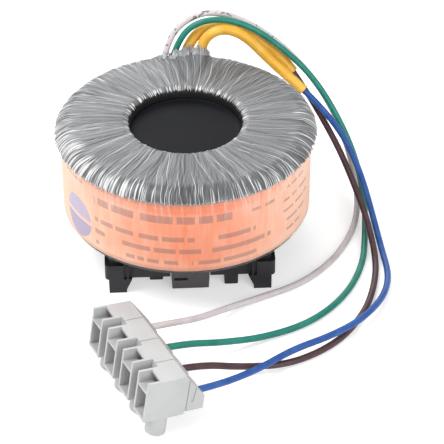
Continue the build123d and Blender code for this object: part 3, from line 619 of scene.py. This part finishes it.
def film_piece():
    """The film as one closed skin, creased all round and drawn up round the leads. Each point
    keeps its crease height for the finish."""
    profile = film_profile()
    angle = np.linspace(0, 2 * pi, FILM_COLUMNS, endpoint=False)[None, :]
    lengths = np.concatenate([[0], np.cumsum(np.hypot(*np.diff(profile[:, :2], axis=0).T))])
    along = (lengths / lengths[-1])[:, None]
    creases = pleat_height(angle, along, PLEAT_WIDTH)
    wide = pleat_height(angle + 1.3, along * 0.9, WIDE_PLEAT_WIDTH)
    low_side = 1 - share_of(along - PLEAT_LOW_START, PLEAT_FADE) * 0.8
    height = (creases * PLEAT_SIZE + wide * WIDE_PLEAT_SIZE) * low_side
    height = np.clip(height, *PLEAT_LIMITS)
    radius = profile[:, 0:1] + profile[:, 2:3] * height
    level = profile[:, 1:2] + profile[:, 3:4] * height
    x = radius * np.cos(angle)
    y = radius * np.sin(angle)
    z = level + fold_rise(x, y) * (1 + 0.06 * creases) - gather_groove(x, y) * profile[:, 3:4]
    outside = np.stack([x, y, z], axis=-1).reshape(-1, 3)
    closing = []
    for ring_r in (SIDE_R - FILM_SKIN, HOLE_R + FILM_SKIN):
        level = np.full(FILM_COLUMNS, FILM_BOTTOM_Z)
        ring = (ring_r * np.cos(angle[0]), ring_r * np.sin(angle[0]), level)
        closing.append(np.stack(ring, axis=-1))
    points = np.concatenate([outside, *closing])
    piece = new_piece("film_skin", points, ring_faces(len(profile) + 2, FILM_COLUMNS, True))
    kept = np.concatenate([creases.reshape(-1), np.zeros(2 * FILM_COLUMNS)])
    layer = piece.data.attributes.new("crease", "FLOAT", "POINT")
    layer.data.foreach_set("value", kept.astype(np.float32))
    return piece


def sheet_mesh(front, back):
    """Points and faces of a closed thin sheet, from the two grids of points of its faces."""
    rows, columns = front.shape[:2]
    count = rows * columns
    faces = []
    for row in range(rows - 1):
        for column in range(columns - 1):
            first = row * columns + column
            quad = (first, first + 1, first + 1 + columns, first + columns)
            faces.append(quad)
            faces.append(tuple(corner + count for corner in reversed(quad)))
    bottom = list(range(columns))
    right = [row * columns + columns - 1 for row in range(1, rows)]
    top = [count - 1 - step for step in range(1, columns)]
    left = [row * columns for row in range(rows - 2, 0, -1)]
    edge = bottom + right + top + left
    for here, ahead in zip(edge, edge[1:] + edge[:1]):
        faces.append((ahead, here, here + count, ahead + count))
    return np.concatenate([front.reshape(-1, 3), back.reshape(-1, 3)]), faces


def tuft_piece():
    """The film's gathered ends: crumpled flaps with torn edges in front of the leads."""
    draw = np.random.default_rng(11)
    across = np.linspace(-1, 1, FLAP_COLUMNS)[None, :]
    upward = np.linspace(0, 1, FLAP_POINTS_UP)[:, None]
    points = []
    faces = []
    for middle, half_width, height, ahead, lean in FLAPS:
        torn = np.zeros(across.shape)
        crumple = np.zeros(np.broadcast(across, upward).shape)
        for count in (1, 2, 3, 5, 8, 13):
            torn += np.cos(pi * count * across + draw.uniform(0, 2 * pi)) / count**0.35
            turn = draw.uniform(0, 2 * pi)
            crumple += np.cos(pi * count * across + turn + 2.5 * upward) / count**1.2
        crown = height * (1 - 0.55 * np.abs(across) ** 2.4) + 0.36 * torn
        spread = half_width * (0.82 + 0.18 * upward)
        x = middle + spread * across + lean * upward**1.5 + 0.12 * crumple
        y = GATHER_Y / MM - ahead + 0.9 * upward + 0.42 * crumple * (0.3 + 0.7 * upward)
        z = FILM_TOP_Z / MM - 1.2 + (crown + 1.2) * upward
        front = np.stack(np.broadcast_arrays(x, y, z), axis=-1) * MM
        sheet_points, sheet_faces = sheet_mesh(front, front + np.array([0, FLAP_THICK, 0]))
        start = sum(len(group) for group in points)
        points.append(sheet_points)
        faces.extend(tuple(corner + start for corner in face) for face in sheet_faces)
    return new_piece("film_tuft", np.concatenate(points), faces)


def label_piece():
    """Paper band on the front of the ring, its surface a little uneven."""
    angle = -pi / 2 + np.linspace(-1, 1, LABEL_COLUMNS)[None, :] * LABEL_HALF_ARC
    share = np.linspace(0, 1, LABEL_POINTS_UP)[:, None]
    wave = np.cos(angle * 23) * np.cos(share * 5) + np.cos(angle * 41 + 2 * share) - 2
    level = LABEL_LOW.z + (LABEL_HIGH.z - LABEL_LOW.z) * share
    grids = []
    for radius in (LABEL_R + LABEL_WAVE * wave, LABEL_R - LABEL_THICK):
        grid = np.broadcast_arrays(radius * np.cos(angle), radius * np.sin(angle), level)
        grids.append(np.stack(grid, axis=-1))
    return new_piece("label_band", *sheet_mesh(*grids))


def potting_piece():
    """Cast resin: a flat face that climbs the hole's wall unevenly."""
    draw = np.random.default_rng(3)
    angle = np.linspace(0, 2 * pi, POTTING_COLUMNS, endpoint=False)
    ragged = np.zeros(POTTING_COLUMNS)
    for count in (3, 5, 8, 13, 21, 34, 55):
        ragged += np.cos(count * angle + draw.uniform(0, 2 * pi)) / count**0.5
    ragged = (ragged - ragged.min()) / (ragged.max() - ragged.min())
    climb = POTTING_CLIMB * (0.6 + 0.4 * ragged)
    rings = []
    for share, rise in POTTING_SECTION:
        rings.append((POTTING_HIGH.x * share, POTTING_HIGH.z - POTTING_CLIMB + rise * climb))
    rings.append((rings[-1][0], np.full(POTTING_COLUMNS, POTTING_LOW.z)))
    points = []
    for radius, level in rings:
        points.extend(zip(radius * np.cos(angle), radius * np.sin(angle), level))
    faces = ring_faces(len(rings), POTTING_COLUMNS, False)
    faces.append(tuple(range(POTTING_COLUMNS)))
    faces.append(tuple(reversed(range(len(points) - POTTING_COLUMNS, len(points)))))
    return new_piece("resin_cast", points, faces)


film = film_piece()
tuft = tuft_piece()
for item in (film, tuft):
    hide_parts("outer_film")
label = label_piece()
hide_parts("rating_label")
potting = potting_piece()
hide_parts("centre_potting")


# ---- Finishes ----

def film_strands(finish, place, angle, radius, z):
    """Fine crossing strands of the drawn film, its thin bright and dark lines, and where its
    creases end."""
    run = radius * 30.0 + z * 16.0
    sway = finish.noise(place, 60.0, 1.0) * 0.12

    def around(scale, lean, start):
        turned = angle + radius * lean + sway
        spot = finish.vector(turned.math("COSINE") * scale, turned.math("SINE") * scale, run + start)
        return finish.noise(spot, 1.0, 1.0)

    strands = around(84.0, 5.0, 0.0) * 0.45 + around(46.0, -3.5, 7.0) * 0.35
    strands = strands + around(19.0, 3.0, 5.0) * 0.3
    bright = finish.ramp(around(105.0, -5.0, 3.0), 0.62, 0.72)
    dark = finish.ramp(around(95.0, 4.0, 11.0), 0.62, 0.74)
    ends = around(64.0, 0.0, 23.0)
    ticks = around(92.0, 1.0, run * 2.5)
    return strands, bright, dark, ends, ticks


def film_finish():
    """Clear film: silvery where its pleats are packed over the top, clear over the label, with
    painted highlights and painted shade on the ends of creases at its shoulder, painted highlights on
    the hole's rim, a painted shadow along the crease down to the hole, and near black inside the
    hole."""
    finish = Finish("shrunk_film", IOR=1.5, Specular_IOR_Level=0.35)
    place = finish.place()
    x, y, z = finish.axes(place)
    radius = (x * x + y * y) ** 0.5
    strands, bright, dark, ends, ticks = film_strands(finish, place, finish.angle(y, x), radius, z)
    crease = finish.node("ShaderNodeAttribute", {"attribute_name": "crease"}, output="Fac")
    cloud = finish.noise(place, 55.0, 2.0)
    # Painted light: the y term draws the film lighter towards the back of the ring and darker at its
    # front.
    tone = (strands - 0.5) * 2.2 + (cloud - 0.5) * 0.5 + crease * 0.1 + y * 3.0 + 0.5
    grey = finish.mix(finish.ramp(tone, 0.0, 1.0), color(*FILM_DARK), color(*FILM_LIGHT))
    grey = finish.mix(bright * 0.55, grey, color(*STRAND_BRIGHT))
    grey = finish.mix(dark * 0.4, grey, color(*STRAND_DARK))
    # Painted highlights: white ticks on the crease ends at the shoulder, more of them on the left and
    # right sides where the light falls.
    glint_crowd = finish.ramp(x * -1.0, -4 * MM, 26 * MM) * 0.1 + finish.ramp(x, 8 * MM, 34 * MM) * 0.05
    crease_glints = finish.ramp(ticks + glint_crowd + (cloud - 0.5) * 0.35, 0.62, 0.68)
    # Painted shade: black ticks in the crease ends at the shoulder.
    crease_shade = finish.ramp(1.0 - ticks + (cloud - 0.5) * 0.35, 0.62, 0.7)
    shoulder = finish.ramp(radius + (ends - 0.5) * (18 * MM), LABEL_R - 4.5 * MM, LABEL_R - 0.5 * MM)
    rim = 1.0 - finish.ramp(radius, HOLE_R + 0.8 * MM, HOLE_R + 2.6 * MM)
    # Painted shadow: a dark line along the crease from the gathered film down to the hole.
    bent = x + GROOVE_SHIFT - (GATHER_Y - y) * GROOVE_SLOPE
    groove_shade_mask = 1.0 - finish.ramp(bent.math("ABSOLUTE"), 0.1 * MM, 0.9 * MM)
    groove_shade_mask = groove_shade_mask * finish.ramp(y, HOLE_R + 1 * MM, HOLE_R + 5 * MM)
    grey = finish.mix(groove_shade_mask * 0.55, grey, color(*GROOVE_SHADE))
    grey = finish.mix(crease_glints * shoulder * 0.7, grey, color(*CREASE_GLINT))
    grey = finish.mix(crease_shade * shoulder * 0.6, grey, color(*CREASE_SHADE))
    # Painted highlight: white flecks along the hole's rim.
    grey = finish.mix(finish.ramp(ends, 0.52, 0.58) * rim * 0.8, grey, color(*RIM_GLINT))
    side = finish.ramp(radius, LABEL_R - 1.6 * MM, LABEL_R - 0.6 * MM)
    level = z + (ends - 0.5) * (2.4 * MM)
    over_label = (1.0 - finish.ramp(level, FILM_CLEAR_Z, FILM_CLEAR_Z + 0.4 * MM)) * side
    near_top = finish.ramp(z, LABEL_HIGH.z - 9.0 * MM, LABEL_HIGH.z)
    streak = finish.ramp(strands + bright * 0.2, 0.5, 0.7) * (0.03 + near_top * 0.18)
    tint = finish.mix(over_label, grey, FILM_CLEAR)
    # The film is drawn near black inside the hole, below a ragged line.
    hole_dark_top = FILM_TOP_Z - 1.6 * MM
    inside = finish.ramp(hole_dark_top - z + (ticks - 0.5) * (2.4 * MM) + 0.6 * MM, 0.0, 0.15 * MM)
    inside = inside * (1.0 - finish.ramp(radius, HOLE_R + 1.2 * MM, HOLE_R + 1.8 * MM))
    finish.drive("Base Color", finish.mix(inside, tint, color(*HOLE_BLACK)))
    clear = over_label * (0.94 - streak)
    finish.drive("Alpha", (1.0 - clear).math("MAXIMUM", inside))
    finish.drive("Roughness", 0.36 - over_label * 0.14 + inside * 0.3)
    finish.bump(strands + crease * 0.25, 0.22, 0.4 * MM)
    return finish


def tuft_finish():
    """The same film gathered upright: streaked up and down, see-through at its torn edge."""
    finish = Finish("gathered_film", Roughness=0.4, IOR=1.5)
    place = finish.place()
    folds = finish.noise(finish.scaled(place, 700.0, 260.0, 110.0), 1.0, 3.0)
    lines = finish.noise(finish.scaled(place, 1500.0, 500.0, 160.0), 1.0, 1.0)
    grey = finish.mix(finish.ramp(folds, 0.3, 0.7), color(*TUFT_DARK), color(*TUFT_LIGHT))
    grey = finish.mix(finish.ramp(lines, 0.58, 0.68) * 0.7, grey, color(*TUFT_LINES))
    finish.drive("Base Color", grey)
    edge = finish.ramp(finish.axes(place)[2], FILM_TOP_Z + 2.6 * MM, FILM_TOP_Z + 5.0 * MM)
    finish.drive("Alpha", 0.95 - edge * 0.5 - finish.ramp(folds, 0.5, 0.7) * 0.3)
    finish.bump(folds, 0.3, 0.4 * MM)
    return finish


def label_finish():
    """Orange paper, paler towards its sides and bottom and in upright streaks as a painted reflection
    of the clear film over it, and faded in patches, with rows of plain grey bars and a plain round
    patch.
    """
    finish = Finish("orange_label", Roughness=0.55)
    place = finish.place()
    x, y, z = finish.axes(place)
    angle = finish.angle(x, y * -1.0)
    up = (z - LABEL_LOW.z) / (LABEL_HIGH.z - LABEL_LOW.z)
    sheen_and_fade = finish.noise(finish.vector(angle * 2.4, up * 0.9, 0.0), 2.0, 3.0, 0.6)
    upright = finish.noise(finish.vector(angle * 34.0, up * 1.2, 4.0), 1.0, 2.0)
    # Painted reflection: turned pales the paper towards its sides, low pales its bottom and the
    # upright streaks pale it in bands, standing for light reflected by the clear film over it; the
    # random patches are partly real fading.
    turned = finish.ramp(angle.math("ABSOLUTE"), 0.05, 1.25)
    low = 1.0 - finish.ramp(up, 0.0, 0.24)
    sheen_and_fade = turned * 0.8 + (sheen_and_fade - 0.5) * 0.9 + (upright - 0.5) * 0.5 + low * 0.25 + 0.22
    # The middle of the top band is kept a fuller orange, with less of the painted reflection.
    top_band = finish.ramp(up, 0.84, 0.9) * (1.0 - turned)
    sheen_and_fade = (sheen_and_fade - top_band * 0.3).math("MAXIMUM", 0.0).math("MINIMUM", 1.0)
    paper = finish.mix(sheen_and_fade, color(*LABEL_ORANGE), color(*LABEL_PALE))
    rows = []
    for seed, (low, high, start, end, words) in enumerate(LABEL_ROWS):
        row = finish.ramp(up, low, low + PRINT_EDGE_UP)
        row = row * (1.0 - finish.ramp(up, high - PRINT_EDGE_UP, high))
        row = row * finish.ramp(angle, start, start + PRINT_EDGE_ROUND)
        row = row * (1.0 - finish.ramp(angle, end - PRINT_EDGE_ROUND, end))
        gaps = finish.noise(finish.vector(angle * words, 3.0 * seed, 0.0), 1.0, 0.0)
        rows.append(row * finish.ramp(gaps, 0.4, 0.415))
    printed = rows[0]
    for row in rows[1:]:
        printed = printed.math("MAXIMUM", row)
    inked = finish.mix(printed * 0.5, paper, color(*LABEL_INK))
    across = (angle - PATCH_ANGLE) / PATCH_HALF_ARC
    above = (up - PATCH_UP) / PATCH_HALF_UP
    patch = 1.0 - finish.ramp((across * across + above * above) ** 0.5, 0.95, 1.0)
    patch = patch * finish.ramp(above.math("ABSOLUTE"), 0.06, 0.1)
    halves = finish.mix(finish.ramp(above, -0.02, 0.02), color(*PATCH_LOW), color(*PATCH_HIGH))
    finish.drive("Base Color", finish.mix(patch * 0.8, inked, halves))
    finish.bump(upright, 0.1, 0.1 * MM)
    return finish


def moulded_finish(name, shade, spots, roughness, speck=0.35, gloss=0.5):
    """Moulded plastic: a fine even grain with slight clouding."""
    finish = Finish(name, Specular_IOR_Level=gloss)
    place = finish.place()
    cloud = finish.noise(place, 90.0, 3.0)
    grain = finish.noise(place, 2600.0, 2.0)
    tone = finish.ramp(cloud, 0.3, 0.7) * 0.6 + grain * 0.2
    finish.drive("Base Color", finish.mix(tone, color(*shade), color(*spots)))
    finish.drive("Roughness", roughness + grain * 0.12)
    finish.bump(grain, speck, 0.05 * MM)
    return finish


def lead_finish(name, shade, worn, specks=0.0):
    """Flexible insulation: smooth, slightly glossy, faintly mottled, with dark specks on its
    highest stretch where they are asked for."""
    finish = Finish(name, Specular_IOR_Level=0.4)
    place = finish.place()
    mottle = finish.noise(place, 260.0, 3.0)
    body = finish.mix(finish.ramp(mottle, 0.3, 0.75), color(*shade), color(*worn))
    if specks:
        spots = finish.noise(place, 850.0, 0.0)
        high = finish.ramp(finish.axes(place)[2], 46 * MM, 52 * MM)
        body = finish.mix(finish.ramp(spots, 0.66, 0.7) * high * specks, body, color(*SPECK_SHADE))
    finish.drive("Base Color", body)
    finish.drive("Roughness", 0.32 + mottle * 0.15)
    finish.bump(mottle, 0.08, 0.2 * MM)
    return finish


def metal_finish(name, shade, worn, roughness):
    """Drawn or stamped metal with fine marks."""
    finish = Finish(name, Metallic=1.0)
    place = finish.place()
    marks = finish.noise(finish.scaled(place, 900.0, 900.0, 4000.0), 1.0, 3.0)
    finish.drive("Base Color", finish.mix(marks, color(*shade), color(*worn)))
    finish.drive("Roughness", roughness + marks * 0.15)
    finish.bump(marks, 0.12, 0.05 * MM)
    return finish


def tape_finish():
    """Pale polyester tape wound round the ring, its edges showing as fine upright lines."""
    finish = Finish("winding_tape")
    place = finish.place()
    x, y = finish.axes(place)[:2]
    angle = finish.angle(y, x)
    spot = finish.vector(angle.math("COSINE") * 60.0, angle.math("SINE") * 60.0, 0.0)
    lines = finish.noise(spot, 1.0, 3.0)
    tone = finish.ramp(lines, 0.3, 0.7)
    finish.drive("Base Color", finish.mix(tone, color(140, 141, 143), color(196, 198, 200)))
    finish.drive("Roughness", 0.3 + lines * 0.2)
    finish.bump(lines, 0.4, 0.3 * MM)
    return finish


def winding_finish():
    """Enamelled copper wires side by side across the ring."""
    finish = Finish("enamelled_copper", Metallic=0.9)
    place = finish.place()
    x, y = finish.axes(place)[:2]
    wires = (finish.angle(y, x) * 220.0).math("SINE")
    finish.drive("Base Color", finish.mix(wires * 0.5 + 0.5, color(120, 62, 38), color(196, 118, 78)))
    finish.drive("Roughness", 0.3 + wires * 0.05)
    finish.bump(wires, 0.5, 0.3 * MM)
    return finish


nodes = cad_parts
film_finish().give(film)
tuft_finish().give(tuft)
label_finish().give(label)
moulded_finish("dark_resin", (13, 14, 18), (19, 20, 25), 0.5, 0.12, 0.08).give(potting)
moulded_finish("black_moulding", (26, 26, 29), (36, 36, 39), 0.42, gloss=0.35).give(base)
moulded_finish("grey_black_moulding", (59, 57, 59), (72, 69, 72), 0.4).give(latch)
moulded_finish("pale_moulding", (181, 182, 182), (192, 193, 193), 0.45, 0.2).give(housing)
for colour, (shade, worn) in LEAD_SHADES.items():
    specks = WHITE_LEAD_SPECKS if colour == "white" else 0.0
    lead_finish("insulation_" + colour, shade, worn, specks).give(leads[colour])
lead_finish("sleeve_yellow", (228, 170, 48), (238, 190, 84)).give(*sleeves.values())
tape_finish().give(nodes["winding_wrap"])
winding_finish().give(nodes["primary_winding"], nodes["secondary_winding"])
metal_finish("core_strip", (96, 98, 104), (140, 142, 148), 0.4).give(nodes["core"])
lead_finish("insulating_tape", (206, 188, 130), (220, 204, 152)).give(
    nodes["core_insulation"], nodes["interwinding_wrap"]
)
metal_finish("spring_wire", (150, 150, 152), (190, 190, 192), 0.3).give(spring)
for kind, shade, worn in POLE_METALS:
    for colour in ROUTES:
        finish = metal_finish(kind + "_metal_" + colour, shade, worn, 0.33)
        finish.give(nodes[kind + "_" + colour])


# ---- View, light and ground ----

def set_camera():
    rise = radians(CAMERA_RISE)
    turn = radians(CAMERA_TURN)
    back = Vector((sin(turn) * cos(rise), -cos(turn) * cos(rise), sin(rise)))
    data = bpy.data.cameras.new("view")
    data.sensor_width = IMAGE_WIDTH_MM
    data.lens = IMAGE_WIDTH_MM * FOCAL_WIDTHS
    data.clip_start = NEAR_CLIP
    camera = bpy.data.objects.new("view", data)
    camera.location = AIM + back * CAMERA_DISTANCE
    camera.rotation_euler = back.to_track_quat("Z", "Y").to_euler()
    bpy.context.scene.collection.objects.link(camera)
    bpy.context.scene.camera = camera


def area_light(name, place, aim, size, power):
    data = bpy.data.lights.new(name, "AREA")
    data.shape = "DISK"
    data.size = size
    data.energy = power
    light = bpy.data.objects.new(name, data)
    light.location = place
    light.rotation_euler = (Vector(place) - Vector(aim)).to_track_quat("Z", "Y").to_euler()
    bpy.context.scene.collection.objects.link(light)


def set_world():
    world = bpy.data.worlds.new("surround")
    bpy.context.scene.world = world
    world.use_nodes = True
    tree = Tree(world.node_tree)
    background = tree.nodes["Background"]
    background.inputs["Color"].default_value = (1, 1, 1, 1)
    strength = tree.seen_share() * (1 - WORLD_LIGHT) + WORLD_LIGHT
    tree.connect(background.inputs["Strength"], strength)


def set_floor():
    mesh = bpy.data.meshes.new("floor")
    corners = [(-FLOOR_REACH, -FLOOR_REACH, 0), (FLOOR_REACH, -FLOOR_REACH, 0)]
    corners += [(FLOOR_REACH, FLOOR_REACH, 0), (-FLOOR_REACH, FLOOR_REACH, 0)]
    mesh.from_pydata(corners, [], [(0, 1, 2, 3)])
    floor = bpy.data.objects.new("floor", mesh)
    bpy.context.scene.collection.objects.link(floor)
    shade = color(*FLOOR_SHADE)
    finish = Finish("floor_paper", Base_Color=shade, Roughness=0.9, Emission_Strength=1.0)
    share = finish.seen_share() * FLOOR_GLOW
    finish.drive("Emission Color", finish.vector(share, share, share))
    finish.give(floor)


set_camera()
set_world()
set_floor()
for name, place, aim, size, power in LIGHTS:
    area_light(name, place, aim, size, power)
bpy.context.scene.view_settings.view_transform = "Standard"
